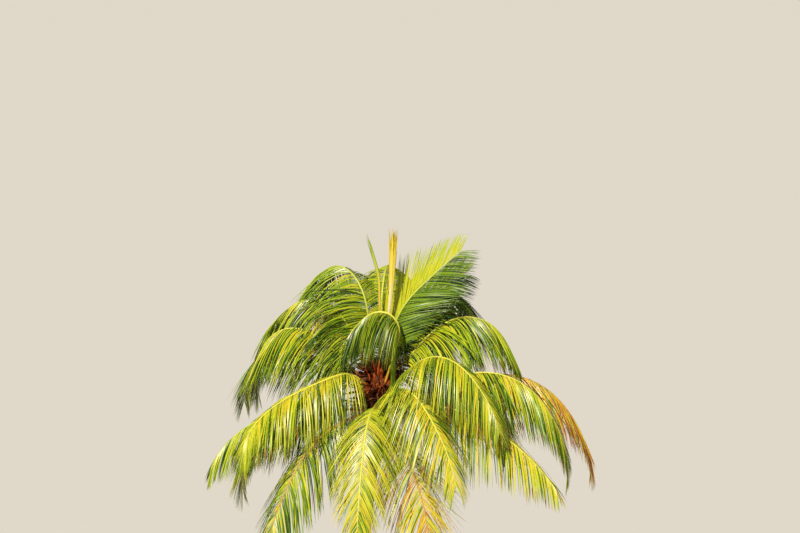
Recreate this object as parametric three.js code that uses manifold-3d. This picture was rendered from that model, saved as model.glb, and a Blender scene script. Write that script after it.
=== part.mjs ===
// A coconut palm: ringed leaning trunk, fibrous crown heart, arching feather leaves, unopened spears,
// woody flower sheaths and flower stalks. Millimetres, +Z up, origin in the flat cut under the trunk.
import * as THREE from "three";
import Module from "manifold-3d";

const wasm = await Module();
wasm.setup();

// The heart is the middle of the leaf bases. The trunk leans towards it from the origin.
const heart = new THREE.Vector3(520, 150, 6400);
const seatGap = 0.4; // between a leaf base and the heart it grows from
const leafClearance = 3; // between the leaflets of two leaves
const ribSteps = 160; // in which a rib is marched from its foot to its tip
const rad = THREE.MathUtils.degToRad;

const trunk = {
  sides: 15,
  ringPitch: 255, // between two of the drawn leaf scars
  ringShare: 0.82, // of the pitch that swells before the step
  ringSwell: 0.045,
  footRadius: 300, // at the ground
  stemRadius: 152, // above the flare
  topRadius: 122,
  flareFall: 300, // height over which the flare drops to a third
  flareLobes: 5,
  lobeDepth: 0.05,
  leanPower: 1.55, // over 1, so that the lean grows upwards from an upright foot
};

// Radius of the crown heart against the height above its middle.
const heartProfile = [
  [-600, 126],
  [-520, 150],
  [-380, 204],
  [-190, 240],
  [0, 232],
  [170, 192],
  [340, 136],
  [500, 84],
  [620, 44],
];
const heartSides = 14;

// What every feather leaf shares. v runs along the leafy blade, from 0 at its first leaflet to 1 at its
// tip.
const leaf = {
  offAxis: 110, // from the middle of the heart to the foot of a leaf
  petioleShare: 0.13, // of the length, bare of leaflets
  petioleSteps: [0, 0.03, 0.07, 0.13],
  bladeSteps: 16,
  splitStep: 7, // the blade step where an arching leaf divides into two solids
  baseHalfWidth: 58,
  stalkHalfWidth: 28,
  tipHalfWidth: 5.5,
  baseHalfThickness: 27,
  stalkHalfThickness: 18,
  tipHalfThickness: 5,
  longestLeaflet: 1350,
  longestAt: 0.35,
  firstShare: 0.6, // length of the first leaflet against the longest
  lastShare: 0.34,
  rootAngle: 70, // between leaflet and rib at the first leaflet, in degrees
  tipAngle: 27,
  midWidthShare: 0.74, // a leaflet's width halfway against its root
  midHalfThickness: 7,
  kneeShare: 0.45, // of a leaflet's length, where it turns down
  innerPull: 0.25, // share of its length whose direction it takes before the knee
  outerPull: 0.8, // and after it
  fitShares: [1, 0.72, 0.5], // lengths tried in turn, until the leaflet clears its neighbours
  hang: 2.6, // how hard leaflets hang, against their pull outwards
  steepHang: 0.3, // share of the hang that is left where the rib stands upright
  bendSpan: 0.26, // of the length, to either side of bendAt
  tipDroop: 48, // added to the bend towards the tip, in degrees
  topSeat: 350, // of the newest leaf, above the middle of the heart
  lowSeat: -475, // of the oldest
  seatPower: 1.4, // over 1, so that the old leaves stand closer together
};

const archOver = { bendSpan: 0.16, offAxis: -140, aside: 150, hang: 4, steepHang: 0.9 };

// One row for each leaf, from the newest to the oldest. heading is its compass direction in plan, 0 along
// +X and 90 along +Y. It leaves the heart at the angle rise and turns down by bend around the share bendAt
// of its length, over bendSpan to either side, and tipDroop is its tip's own droop where that isn't the one
// that all share. The one leaf that arches over the heart has its foot behind the middle, with offAxis and
// aside of its own, and its leaflets hang like a curtain. Degrees and millimetres.
const leaves = [
  { heading: 15, rise: 78, bend: 36, bendAt: 0.42, tipDroop: 6, length: 2850, young: true },
  { heading: 128, rise: 80, bend: 106, bendAt: 0.47, length: 4250 },
  { heading: 82, rise: 76, bend: 106, bendAt: 0.5, length: 4100 },
  { heading: 32, rise: 68, bend: 36, bendAt: 0.42, tipDroop: 20, length: 2750, young: true },
  { heading: 147, rise: 60, bend: 89, bendAt: 0.46, length: 3900 },
  { heading: 44, rise: 56, bend: 106, bendAt: 0.5, length: 4400 },
  { heading: 14, rise: 46, bend: 92, bendAt: 0.5, length: 4200 },
  { ...archOver, heading: 168, rise: 106, bend: 150, bendAt: 0.38, length: 4200 },
  { heading: 168, rise: 43, bend: 98, bendAt: 0.55, length: 3700 },
  { heading: 106, rise: 40, bend: 76, bendAt: 0.5, length: 4500 },
  { heading: 212, rise: 52, bend: 62, bendAt: 0.18, bendSpan: 0.13, tipDroop: 90, length: 3750 },
  { heading: 318, rise: 44, bend: 72, bendAt: 0.48, length: 3900 },
  { heading: 68, rise: 32, bend: 70, bendAt: 0.5, length: 4500 },
  { heading: 296, rise: 33, bend: 54, bendAt: 0.33, length: 3800 },
  { heading: 140, rise: 28, bend: 66, bendAt: 0.5, length: 4500 },
  { heading: 350, rise: 23, bend: 68, bendAt: 0.5, length: 4900 },
  { heading: 264, rise: 12, bend: 42, bendAt: 0.4, length: 4100 },
  { heading: 328, rise: 10, bend: 33, bendAt: 0.42, tipDroop: 28, length: 4200 },
  { heading: 190, rise: 16, bend: 38, bendAt: 0.33, length: 3650 },
  { heading: 8, rise: 17, bend: 58, bendAt: 0.5, length: 5350 },
  { heading: 222, rise: -4, bend: 45, bendAt: 0.34, length: 4100 },
  { heading: 42, rise: 6, bend: 50, bendAt: 0.5, length: 4500 },
  { heading: 90, rise: 2, bend: 50, bendAt: 0.5, length: 4300 },
  { heading: 288, rise: -10, bend: 26, bendAt: 0.5, length: 4000 },
  { heading: 158, rise: -4, bend: 46, bendAt: 0.5, length: 4000 },
];

// A young leaf is rolled on its edge, by roll degrees about its slimmer rib. It still holds the lowest
// leaflets of its upper side against the rib and opens towards its tip. It is one solid.
const youngLeaf = {
  rootAngle: 12,
  lowerRootAngle: 50,
  tipAngle: 28,
  midWidthShare: 0.5,
  leafletShare: 0.8, // length of its leaflets against those of an old leaf
  hang: 0.1,
  lowerHang: 0.5,
  slim: 0.72,
  roll: 62,
};

const bark = { color: 0x8d8272, roughness: 0.9 };
const fibre = { color: 0x7a4a2a, roughness: 0.95 };
const green = { color: 0x93a832, roughness: 0.45 };
const lime = { color: 0xc9cc2f, roughness: 0.45 };
const straw = { color: 0xddc24a, roughness: 0.5 };
const rust = { color: 0xb4562a, roughness: 0.8 };

// Slender blades that share a foot and fan out in a cone: the two unopened spears, the woody flower
// sheaths and the flower stalks, whose strands leave the end of a stem. offAxis is how far the foot
// stands from the middle of the heart, fullest the share of the length where a blade is widest, and
// flatness its thickness against its width.
const spear = {
  look: straw,
  blades: 4,
  fan: 2,
  halfWidth: 40,
  flatness: 0.7,
  fullest: 0.84,
  seat: 430,
  tipDroop: 0,
};
const bentOver = { bendAt: 0.66, bendSpan: 0.1, offAxis: -30 };
const sheath = {
  look: rust,
  blades: 1,
  fan: 0,
  halfWidth: 46,
  flatness: 0.5,
  fullest: 0.6,
  bend: 8,
  tipDroop: 0,
};
const stalk = {
  look: rust,
  blades: 6,
  fan: 25,
  halfWidth: 11,
  flatness: 0.7,
  fullest: 0.6,
  rise: 44,
  bend: 50,
  length: 330,
  tipDroop: 0,
  stemLength: 420,
  stemHalfWidth: 22,
  stemHalfThickness: 17.6,
  strandsAt: 0.8, // share of the stem's length where the strands leave it
};
const bundles = [
  { name: "spear_tall", ...spear, heading: 352, rise: 82, bend: -6, length: 2820, offAxis: 60 },
  { name: "spear_young", ...spear, ...bentOver, blades: 3, heading: 170, rise: 90, bend: 16, length: 2700 },
  { name: "flower_sheath_1", ...sheath, heading: 240, rise: 78, seat: 40, length: 440 },
  { name: "flower_sheath_2", ...sheath, heading: 286, rise: 74, seat: 110, length: 420 },
  { name: "flower_sheath_3", ...sheath, heading: 90, rise: 60, seat: 60, length: 480 },
  { name: "flower_stalk_1", ...stalk, heading: 272, seat: 10 },
  { name: "flower_stalk_2", ...stalk, heading: 242, seat: -170 },
  { name: "flower_stalk_3", ...stalk, heading: 132, seat: 45 },
  { name: "flower_stalk_4", ...stalk, heading: 28, seat: -150 },
];

// Half sizes of a blade against its fullest: at its foot, low on it, where it is fullest, near its tip and
// at its tip, which is a point.
const bladeSizes = [0.45, 0.6, 1, 0.7, 0];
const bladeLow = 0.3; // share of its length

// A growing list of points and triangles that becomes one closed geometry.
class Skin {
  points = [];
  faces = [];
  add(point) {
    this.points.push(point.clone());
    return this.points.length - 1;
  }
  quad(a, b, c, d) {
    this.faces.push([a, b, c], [a, c, d]);
  }
  fan(ring) {
    for (let i = 1; i + 1 < ring.length; i++) this.faces.push([ring[0], ring[i], ring[i + 1]]);
  }
  wall(low, high) {
    low.forEach((a, i) => {
      const next = (i + 1) % low.length;
      this.quad(a, low[next], high[next], high[i]);
    });
  }
  // A leaflet from its root round its knee to its tip. The side towards the petiole is cut along its other
  // diagonal, so that two leaflets part cleanly from the root edge that they share.
  leaflet(root, ring, tip) {
    this.quad(root[1], ring[1], ring[0], root[0]);
    for (let i = 1; i < 4; i++) {
      const next = (i + 1) % 4;
      this.quad(root[i], root[next], ring[next], ring[i]);
    }
    ring.forEach((a, i) => this.faces.push([a, ring[(i + 1) % 4], tip]));
  }
  solid() {
    const mesh = new wasm.Mesh({
      numProp: 3,
      vertProperties: new Float32Array(this.points.flatMap((p) => [p.x, p.y, p.z])),
      triVerts: new Uint32Array(this.faces.flat()),
    });
    const made = new wasm.Manifold(mesh);
    if (made.volume() > 0) return made;
    const turned = this.faces.flatMap(([a, b, c]) => [a, c, b]);
    return new wasm.Manifold(new wasm.Mesh({ ...mesh, numProp: 3, triVerts: new Uint32Array(turned) }));
  }
}

function geometryOf(solid) {
  const { numProp, numVert, vertProperties, triVerts } = solid.getMesh();
  const places = new Float32Array(numVert * 3);
  for (let i = 0; i < numVert; i++) {
    places.set(vertProperties.subarray(i * numProp, i * numProp + 3), i * 3);
  }
  return new THREE.BufferGeometry()
    .setAttribute("position", new THREE.BufferAttribute(places, 3))
    .setIndex(new THREE.BufferAttribute(triVerts, 1));
}

function loft(rings) {
  const skin = new Skin();
  const rows = rings.map((ring) => ring.map((point) => skin.add(point)));
  rows.slice(1).forEach((row, i) => skin.wall(rows[i], row));
  skin.fan([...rows[0]].reverse());
  skin.fan(rows[rows.length - 1]);
  return skin.solid();
}

function levelRing(centre, radiusAt, sides) {
  return Array.from({ length: sides }, (_, i) => {
    const turn = (i / sides) * 2 * Math.PI;
    const radius = radiusAt(turn);
    return new THREE.Vector3(
      centre.x + radius * Math.cos(turn),
      centre.y + radius * Math.sin(turn),
      centre.z,
    );
  });
}

const trunkTop = heart.z + heartProfile[0][0] - seatGap;

function trunkCentre(z) {
  const share = (z / trunkTop) ** trunk.leanPower;
  return new THREE.Vector3(heart.x * share, heart.y * share, z);
}

// The radius falls from the foot's flare to the stem and on to the top, with lobes that fade upwards.
function trunkRing(z, swell) {
  const flare = Math.exp(-z / trunk.flareFall);
  const taper = THREE.MathUtils.lerp(trunk.stemRadius, trunk.topRadius, z / trunkTop);
  const radius = (taper + (trunk.footRadius - trunk.stemRadius) * flare) * (1 + swell);
  const lobed = (turn) => radius * (1 + trunk.lobeDepth * flare * Math.cos(trunk.flareLobes * turn));
  return levelRing(trunkCentre(z), lobed, trunk.sides);
}

function makeTrunk() {
  const rings = [];
  const count = Math.round(trunkTop / trunk.ringPitch);
  const pitch = trunkTop / count;
  for (let i = 0; i < count; i++) {
    rings.push(trunkRing(i * pitch, -trunk.ringSwell / 2));
    rings.push(trunkRing((i + trunk.ringShare) * pitch, trunk.ringSwell / 2));
  }
  rings.push(trunkRing(trunkTop, -trunk.ringSwell / 2));
  return loft(rings);
}

function makeHeart(grow) {
  const last = heartProfile.length - 1;
  return loft(
    heartProfile.map(([height, radius], i) => {
      const lift = i === last ? grow : i === 0 ? -grow : 0;
      const centre = new THREE.Vector3(heart.x, heart.y, heart.z + height + lift);
      return levelRing(centre, () => radius + grow, heartSides);
    }),
  );
}

function smooth(low, high, x) {
  const t = THREE.MathUtils.clamp((x - low) / (high - low), 0, 1);
  return t * t * (3 - 2 * t);
}

// Marches along a rib in small steps. u is the share of the length, and the slope there is rise, less bend
// eased in around bendAt, less the tip's own droop, which grows as the fourth power of u.
function traceRib(row) {
  const { heading, rise, bend, length, seat, bendAt = 0.5, offAxis = leaf.offAxis, aside = 0 } = row;
  const { tipDroop = leaf.tipDroop, bendSpan = leaf.bendSpan, roll = 0 } = row;
  const samples = [];
  const ahead = new THREE.Vector3(Math.cos(rad(heading)), Math.sin(rad(heading)), 0);
  const level = new THREE.Vector3(-ahead.y, ahead.x, 0);
  const place = heart.clone().addScaledVector(ahead, offAxis).addScaledVector(level, aside);
  place.z += seat;
  for (let i = 0; i <= ribSteps; i++) {
    const u = i / ribSteps;
    const bent = bend * smooth(bendAt - bendSpan, bendAt + bendSpan, u);
    const slope = rad(rise - bent - tipDroop * u ** 4);
    const along = ahead.clone().multiplyScalar(Math.cos(slope));
    along.z = Math.sin(slope);
    const side = level.clone().applyAxisAngle(along, rad(roll));
    samples.push({ place: place.clone(), along, side, up: along.clone().cross(side) });
    place.addScaledVector(along, length / ribSteps);
  }
  return samples;
}

function sampleRib(samples, u) {
  const at = u * (samples.length - 1);
  const i = Math.min(Math.floor(at), samples.length - 2);
  const { along, side, up } = samples[i];
  return { place: samples[i].place.clone().lerp(samples[i + 1].place, at - i), along, side, up };
}

function ribSize(u, base, stalk, tip, slim = 1) {
  const { petioleShare } = leaf;
  if (u < petioleShare) return slim * THREE.MathUtils.lerp(base, stalk, (u / petioleShare) ** 0.5);
  return THREE.MathUtils.lerp(slim * stalk, tip, (u - petioleShare) / (1 - petioleShare));
}

// The rib's four-sided sections, each listed left top, right top, right bottom, left bottom.
function ribSections(row, shares) {
  const samples = traceRib(row);
  return shares.map((u) => {
    const { place, along, side, up } = sampleRib(samples, u);
    const { baseHalfThickness, stalkHalfThickness, tipHalfThickness } = leaf;
    const width = ribSize(u, leaf.baseHalfWidth, leaf.stalkHalfWidth, leaf.tipHalfWidth, row.slim);
    const thick = ribSize(u, baseHalfThickness, stalkHalfThickness, tipHalfThickness, row.slim);
    const corner = (across, over) =>
      place.clone().addScaledVector(side, across * width).addScaledVector(up, over * thick);
    const corners = [corner(1, 1), corner(-1, 1), corner(-1, -1), corner(1, -1)];
    return { place, along, side, up, corners };
  });
}

function leafletLength(v) {
  const { longestLeaflet, longestAt, firstShare, lastShare } = leaf;
  const before = 1 - (1 - firstShare) * (1 - v / longestAt) ** 2;
  const after = 1 - (1 - lastShare) * ((v - longestAt) / (1 - longestAt)) ** 1.5;
  return longestLeaflet * (v < longestAt ? before : after);
}

// A leaflet leaves the rib sideways and forward, and its weight turns it down on the way to its tip.
function leafletWay({ along, side }, hand, angle, droop, share) {
  return along
    .clone()
    .multiplyScalar(Math.cos(angle))
    .addScaledVector(side, hand * Math.sin(angle))
    .add(new THREE.Vector3(0, 0, -droop * share ** 0.7))
    .normalize();
}

// The four root corners of the leaflet between two sections, its knee corners and its tip.
function leafletPoints(row, from, to, v, hand, lengthShare) {
  const pick = hand > 0 ? [3, 0] : [1, 2];
  const root = [from.corners[pick[0]], from.corners[pick[1]], to.corners[pick[1]], to.corners[pick[0]]];
  const rootAngle = (hand < 0 ? row.lowerRootAngle : row.rootAngle) ?? leaf.rootAngle;
  const angle = rad(THREE.MathUtils.lerp(rootAngle, row.tipAngle ?? leaf.tipAngle, v ** 1.2));
  const hang = (hand < 0 ? row.lowerHang : undefined) ?? row.hang ?? leaf.hang;
  const droop = hang * (1 - (1 - (row.steepHang ?? leaf.steepHang)) * from.along.z ** 2);
  const length = leafletLength(v) * lengthShare * (row.leafletShare ?? 1);
  const first = leafletWay(from, hand, angle, droop, leaf.innerPull);
  const second = leafletWay(from, hand, angle, droop, leaf.outerPull);
  const middle = root.reduce((sum, p) => sum.add(p), new THREE.Vector3()).multiplyScalar(0.25);
  const knee = middle.clone().addScaledVector(first, length * leaf.kneeShare);
  const tip = knee.clone().addScaledVector(second, length * (1 - leaf.kneeShare));
  const midWidth = row.midWidthShare ?? leaf.midWidthShare;
  const half = to.place.clone().sub(from.place).multiplyScalar(midWidth / 2);
  const over = half.clone().cross(first).multiplyScalar(hand).setLength(leaf.midHalfThickness);
  const ring = [
    [-1, -hand],
    [-1, hand],
    [1, hand],
    [1, -hand],
  ].map(([ahead, above]) => knee.clone().addScaledVector(half, ahead).addScaledVector(over, above));
  return { root, ring, tip };
}

function leafletSolid({ root, ring, tip }) {
  const skin = new Skin();
  const low = root.map((p) => skin.add(p));
  skin.fan([...low].reverse());
  skin.leaflet(low, ring.map((p) => skin.add(p)), skin.add(tip));
  return skin.solid();
}

// A run of the rib between two sections, closed at both ends, with its leaflets grown out of its sides.
function ribRun(sections, leaflets) {
  const skin = new Skin();
  const rows = sections.map(({ corners }) => corners.map((p) => skin.add(p)));
  skin.fan([...rows[0]].reverse());
  skin.fan(rows[rows.length - 1]);
  rows.slice(1).forEach((row, i) => {
    const before = rows[i];
    for (let k = 0; k < 4; k++) {
      const next = (k + 1) % 4;
      const root = [before[k], before[next], row[next], row[k]];
      const hand = k === 3 ? 1 : -1;
      const found = k % 2 === 1 ? leaflets.find((one) => one.step === i && one.hand === hand) : undefined;
      if (!found) {
        skin.quad(...root);
        continue;
      }
      skin.leaflet(root, found.points.ring.map((p) => skin.add(p)), skin.add(found.points.tip));
    }
  });
  return skin.solid();
}

// A slim blade along a rib: it swells from its foot and ends in a point. It leans out of the rib by the
// slope spread, in the direction that turn gives around it.
function makeBlade(row, foot, spread, turn, halfWidth, halfThickness) {
  const samples = traceRib(row);
  const shift = foot.clone().sub(samples[0].place);
  const shares = [0, bladeLow, row.fullest, (row.fullest + 1) / 2, 1];
  const skin = new Skin();
  const rows = shares.map((u, i) => {
    const { place, side, up } = sampleRib(samples, u);
    const aside = spread * row.length * u;
    place
      .add(shift)
      .addScaledVector(side, aside * Math.cos(turn))
      .addScaledVector(up, aside * Math.sin(turn));
    if (bladeSizes[i] === 0) return [skin.add(place)];
    const corner = (across, over) =>
      skin.add(
        place
          .clone()
          .addScaledVector(side, across * halfWidth * bladeSizes[i])
          .addScaledVector(up, over * halfThickness * bladeSizes[i]),
      );
    return [corner(1, 0), corner(0, 1), corner(-1, 0), corner(0, -1)];
  });
  const [tip] = rows.pop();
  skin.fan([...rows[0]].reverse());
  rows.slice(1).forEach((row, i) => skin.wall(rows[i], row));
  const last = rows[rows.length - 1];
  last.forEach((a, i) => skin.faces.push([a, last[(i + 1) % 4], tip]));
  return skin.solid();
}

function makeBundle(row, socket) {
  const { blades, fan, halfWidth, flatness } = row;
  const stem = row.stemLength ? { ...row, bend: 0, length: row.stemLength } : undefined;
  const start = traceRib(row)[0].place;
  const foot = stem ? sampleRib(traceRib(stem), row.strandsAt).place : start;
  const spread = Math.tan(rad(fan));
  const solids = Array.from({ length: blades }, (_, i) =>
    makeBlade(row, foot, spread, ((i + 0.5) / blades) * 2 * Math.PI, halfWidth, halfWidth * flatness),
  );
  if (stem) solids.push(makeBlade(stem, start, 0, 0, row.stemHalfWidth, row.stemHalfThickness));
  return wasm.Manifold.union(solids).subtract(socket);
}

// Keeps each leaflet that stays clear of every other leaf, shortened where it has to be.
function chooseLeaflets(plan, others) {
  const kept = [];
  const first = leaf.petioleSteps.length - 1;
  for (let step = first; step < plan.sections.length - 1; step++) {
    const v = (step - first + 0.5) / leaf.bladeSteps;
    for (const hand of [1, -1]) {
      for (const share of leaf.fitShares) {
        const [from, to] = plan.sections.slice(step, step + 2);
        const points = leafletPoints(plan.row, from, to, v, hand, share);
        const solid = leafletSolid(points);
        const made = { owner: plan, solid, box: solid.boundingBox() };
        if (others.some((other) => touches(made, other))) continue;
        kept.push({ step, hand, points });
        others.push(made);
        break;
      }
    }
  }
  return kept;
}

// The boxes are compared first, because most solids are far apart.
function touches(a, b) {
  if (a.owner === b.owner) return false;
  const apart = (i, low, high) => low.box.max[i] + leafClearance < high.box.min[i];
  if ([0, 1, 2].some((i) => apart(i, a, b) || apart(i, b, a))) return false;
  return a.solid.minGap(b.solid, leafClearance) < leafClearance;
}

// Splits an arching leaf at its bend, with the seat gap between the two runs.
function makeLeaf(plan, kept, socket, split) {
  if (!split) return [ribRun(plan.sections, kept).subtract(socket)];
  const at = leaf.petioleSteps.length - 1 + leaf.splitStep;
  const inner = kept.filter(({ step }) => step < at);
  const outer = kept.filter(({ step }) => step >= at).map((one) => ({ ...one, step: one.step - at }));
  const beyond = plan.sections.slice(at);
  const shift = beyond[0].along.clone().multiplyScalar(seatGap);
  const started = { ...beyond[0], corners: beyond[0].corners.map((p) => p.clone().add(shift)) };
  return [
    ribRun(plan.sections.slice(0, at + 1), inner).subtract(socket),
    ribRun([started, ...beyond.slice(1)], outer),
  ];
}

const palm = new THREE.Group();

function addNode(name, solid, look) {
  const mesh = new THREE.Mesh(geometryOf(solid), new THREE.MeshStandardMaterial({ ...look, metalness: 0 }));
  mesh.name = name;
  palm.add(mesh);
}

const trunkSolid = makeTrunk();
const heartSolid = makeHeart(0);
const socket = makeHeart(seatGap);
addNode("trunk", trunkSolid, bark);
addNode("crown_heart", heartSolid, fibre);

// Every solid that a leaflet has to clear, with what it belongs to.
const occupied = [];
function occupy(owner, solid) {
  occupied.push({ owner, solid, box: solid.boundingBox() });
}

occupy("trunk", trunkSolid);
occupy("crown_heart", socket);
for (const row of bundles) {
  const solid = makeBundle(row, socket);
  occupy(row, solid);
  addNode(row.name, solid, row.look);
}

const shares = [
  ...leaf.petioleSteps,
  ...Array.from(
    { length: leaf.bladeSteps },
    (_, i) => leaf.petioleShare + ((1 - leaf.petioleShare) * (i + 1)) / leaf.bladeSteps,
  ),
];
const plans = leaves.map((row, i) => {
  const newness = (1 - i / (leaves.length - 1)) ** leaf.seatPower;
  const seat = THREE.MathUtils.lerp(leaf.lowSeat, leaf.topSeat, newness);
  const full = { ...(row.young ? youngLeaf : {}), ...row, seat };
  return { row: full, sections: ribSections(full, shares) };
});
for (const plan of plans) occupy(plan, ribRun(plan.sections, []).subtract(socket));
plans.forEach((plan, i) => {
  const { young } = plan.row;
  const kept = chooseLeaflets(plan, occupied);
  makeLeaf(plan, kept, socket, !young).forEach((solid, k) => {
    const end = young ? "" : ["_inner", "_outer"][k];
    addNode(`leaf_${String(i + 1).padStart(2, "0")}${end}`, solid, young ? lime : green);
  });
});

export default palm;
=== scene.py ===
# Coconut palm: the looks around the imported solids. Metres, +Z up, origin in the flat cut under the trunk.
import math

import bpy
import numpy as np
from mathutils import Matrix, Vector


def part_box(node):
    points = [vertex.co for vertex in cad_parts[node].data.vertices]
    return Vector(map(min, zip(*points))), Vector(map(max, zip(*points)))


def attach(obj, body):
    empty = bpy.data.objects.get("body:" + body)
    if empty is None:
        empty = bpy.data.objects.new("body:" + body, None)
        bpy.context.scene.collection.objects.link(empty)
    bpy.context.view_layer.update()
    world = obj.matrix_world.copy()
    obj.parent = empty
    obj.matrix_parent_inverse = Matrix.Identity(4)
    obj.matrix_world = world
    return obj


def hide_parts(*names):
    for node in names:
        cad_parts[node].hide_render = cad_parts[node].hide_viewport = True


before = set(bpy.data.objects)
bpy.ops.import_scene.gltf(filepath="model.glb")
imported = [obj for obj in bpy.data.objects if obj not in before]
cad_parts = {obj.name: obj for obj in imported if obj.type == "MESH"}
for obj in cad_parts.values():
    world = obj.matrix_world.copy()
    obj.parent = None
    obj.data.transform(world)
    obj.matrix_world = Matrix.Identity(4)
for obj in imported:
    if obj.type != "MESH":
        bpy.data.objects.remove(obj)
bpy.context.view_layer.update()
print("frame loaded:", len(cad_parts), "nodes")

# The crown heart, from its foot to its top: height above its middle and radius there
heartPiece = {
    "profile": [(-0.600, 0.126), (-0.520, 0.150), (-0.380, 0.204), (-0.190, 0.240), (0.0, 0.232),
                (0.170, 0.192), (0.340, 0.136), (0.500, 0.084), (0.620, 0.044)],
    "rings": 190, "sides": 96,
    "ledgePitch": 0.13, "ledgeDepth": 0.022,  # of the old leaf bases that overlap
    "ridgeCounts": (37, 53, 71), "ridgeDepth": 0.0018,  # of the fibre ridges round it
}
heartHeights, heartRadii = np.array(heartPiece["profile"]).T
heartLow, heartHigh = (np.array(corner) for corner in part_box("crown_heart"))
heart = (heartLow + heartHigh) / 2
heart[2] = heartLow[2] - heartHeights[0]
up = np.array([0.0, 0.0, 1.0])
goldenTurn = 2.39996  # between one strand of a bundle and the next, in radians


# Colour and nodes
def linear(hexColour):
    # An sRGB hex value as linear light, with alpha 1
    values = [int(hexColour[i:i + 2], 16) / 255 for i in (1, 3, 5)]
    return [c / 12.92 if c <= 0.04045 else ((c + 0.055) / 1.055) ** 2.4 for c in values] + [1.0]


def addNode(tree, kind, settings=None, links=None):
    # settings are attributes, or input values by name or number. links map an input to the output of an
    # earlier node.
    node = tree.nodes.new(kind)
    for key, value in (settings or {}).items():
        if isinstance(key, int) or key in node.inputs:
            node.inputs[key].default_value = value
        else:
            setattr(node, key, value)
    for key, source in (links or {}).items():
        tree.links.new(source, node.inputs[key])
    return node


def newMaterial(name, colour, roughness, **sockets):
    # A material of one principled shader, with its sockets set by name
    material = bpy.data.materials.new(name)
    material.use_nodes = True
    tree = material.node_tree
    tree.nodes.clear()
    settings = {"Base Color": linear(colour), "Roughness": roughness, **sockets}
    shader = addNode(tree, "ShaderNodeBsdfPrincipled", settings)
    addNode(tree, "ShaderNodeOutputMaterial", links={"Surface": shader.outputs["BSDF"]})
    return material, tree, shader


def colourRamp(tree, factor, stops):
    # The factor's colour between stops, each a place from 0 to 1 and a colour
    ramp = addNode(tree, "ShaderNodeValToRGB", links={"Fac": factor})
    while len(ramp.color_ramp.elements) < len(stops):
        ramp.color_ramp.elements.new(0.5)
    for element, (place, colour) in zip(ramp.color_ramp.elements, stops):
        element.position = place
        element.color = linear(colour)
    return ramp.outputs["Color"]


def perMetre(*millimetres):
    # How many grains or threads of those sizes lie on a metre, which is a pattern's scale
    scales = tuple(1000 / size for size in millimetres)
    return scales if len(scales) > 1 else scales[0]


def bumpFrom(tree, shader, height, strength, distance):
    # Tilts the surface as if height, from 0 to 1, raised it by up to distance metres
    bump = addNode(tree, "ShaderNodeBump", {"Strength": strength, "Distance": distance}, {"Height": height})
    tree.links.new(bump.outputs["Normal"], shader.inputs["Normal"])


# Meshes
def makePiece(name, points, quads, materials, nodes, looks=None, uv=None, sharp=None, scar=None):
    # One mesh from whole arrays: points (n, 3), quads (m, 4), looks a material number for each quad, uv and
    # scar one value for each point. Edges sharper than sharp degrees stay crisp.
    mesh = bpy.data.meshes.new(name)
    mesh.vertices.add(len(points))
    mesh.vertices.foreach_set("co", points.astype(np.float32).ravel())
    mesh.loops.add(quads.size)
    mesh.loops.foreach_set("vertex_index", quads.astype(np.int32).ravel())
    mesh.polygons.add(len(quads))
    mesh.polygons.foreach_set("loop_start", np.arange(0, quads.size, 4, dtype=np.int32))
    mesh.polygons.foreach_set("use_smooth", np.ones(len(quads), dtype=bool))
    for material in materials:
        mesh.materials.append(material)
    if looks is not None:
        mesh.polygons.foreach_set("material_index", looks.astype(np.int32))
    if uv is not None:
        layer = mesh.uv_layers.new(name="surface")
        layer.uv.foreach_set("vector", uv[quads.ravel()].astype(np.float32).ravel())
    if scar is not None:
        mesh.attributes.new("scar", "FLOAT", "POINT").data.foreach_set("value", scar.astype(np.float32))
    mesh.update(calc_edges=True)
    mesh.validate()
    if sharp:
        mesh.set_sharp_from_angle(angle=math.radians(sharp))
    piece = bpy.data.objects.new(name, mesh)
    bpy.context.scene.collection.objects.link(piece)
    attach(piece, "root")
    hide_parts(*nodes)


def ringQuads(count, rings, sides, flip=False):
    # Quads of count closed tubes of rings x sides points each. A ring that turns anticlockwise about the way
    # it is carried faces outwards, and flip turns a tube over. Both ends are closed by quads from their first
    # corner.
    a = np.arange(rings - 1)[:, None] * sides + np.arange(sides)
    b = np.arange(rings - 1)[:, None] * sides + (np.arange(sides) + 1) % sides
    walls = np.stack([a, b, b + sides, a + sides], axis=-1).reshape(-1, 4)
    odd = np.arange(1, sides - 2, 2)
    end = np.stack([0 * odd, odd, odd + 1, odd + 2], axis=-1)
    one = np.vstack([walls, end[:, ::-1], end + (rings - 1) * sides])
    every = np.repeat(one[None], count, axis=0)
    every = np.where(np.broadcast_to(flip, count)[:, None, None], every[:, :, ::-1], every)
    return (every + (np.arange(count) * rings * sides)[:, None, None]).reshape(-1, 4)


def unit(vectors):
    # Each vector divided by its length
    return vectors / np.linalg.norm(vectors, axis=-1, keepdims=True)


def smoothStep(low, high, x):
    # 0 below low and 1 above high, with t * t * (3 - 2 * t) between them
    t = np.clip((x - low) / (high - low), 0, 1)
    return t * t * (3 - 2 * t)


def waves(rng, x, lowest, highest, count=5):
    # A smooth random line along x: a sum of sines of random pitch and phase, about -1 to 1
    pitch = rng.uniform(lowest, highest, count)[:, None]
    phase = rng.uniform(0, 2 * np.pi, count)[:, None]
    return np.sin(2 * np.pi * pitch * x + phase).sum(axis=0) / count ** 0.5


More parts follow.
